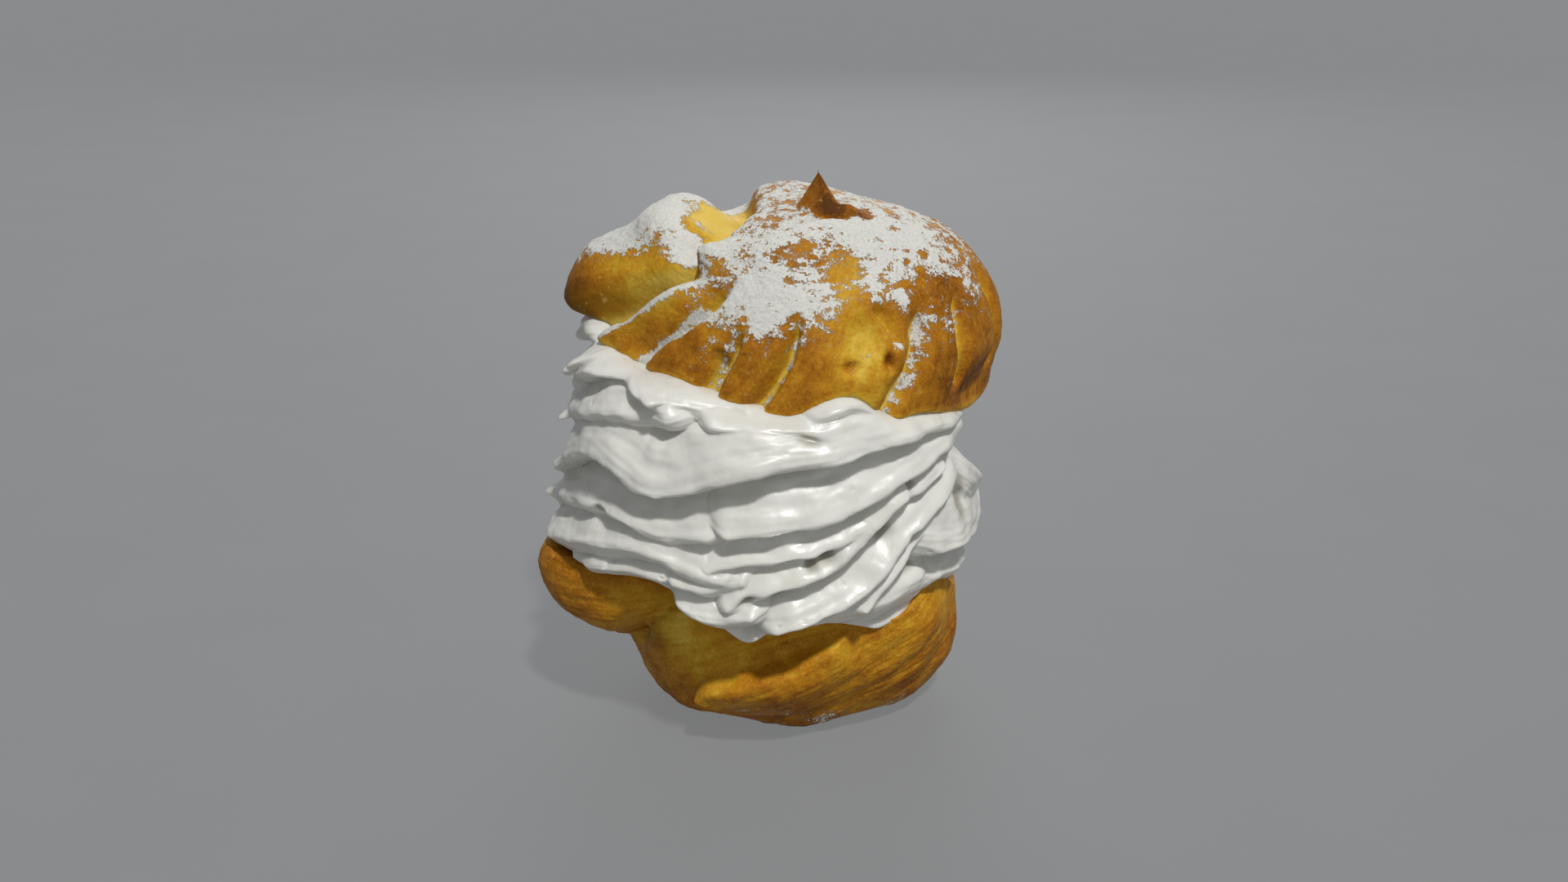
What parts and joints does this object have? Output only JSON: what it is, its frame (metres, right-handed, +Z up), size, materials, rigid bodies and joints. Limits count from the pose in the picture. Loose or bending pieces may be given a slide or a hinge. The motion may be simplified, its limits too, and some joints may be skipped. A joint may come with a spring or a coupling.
{
  "type": "cream puff",
  "caption": "Choux bun cut across and filled with a thick band of piped whipped cream, its ribbed cap dusted with powdered sugar and topped by a small nub.",
  "frame": {"origin": "middle of the bounding box's bottom face, on the table", "axes": "+Z up, -Y towards the front, +X to the right seen from the front"},
  "size_m": [0.086, 0.0806, 0.1028],
  "materials": {
    "choux_base_crust": "baked golden-brown choux crust, satin",
    "cream": "whipped cream, moist, softly glossy",
    "choux_cap_crust": "baked choux crust with powdered sugar, satin to matt"
  },
  "bodies": {
    "root": {"choux_base": "choux_base_crust", "whipped_cream": "cream", "choux_cap": "choux_cap_crust"}
  },
  "joints": []
}
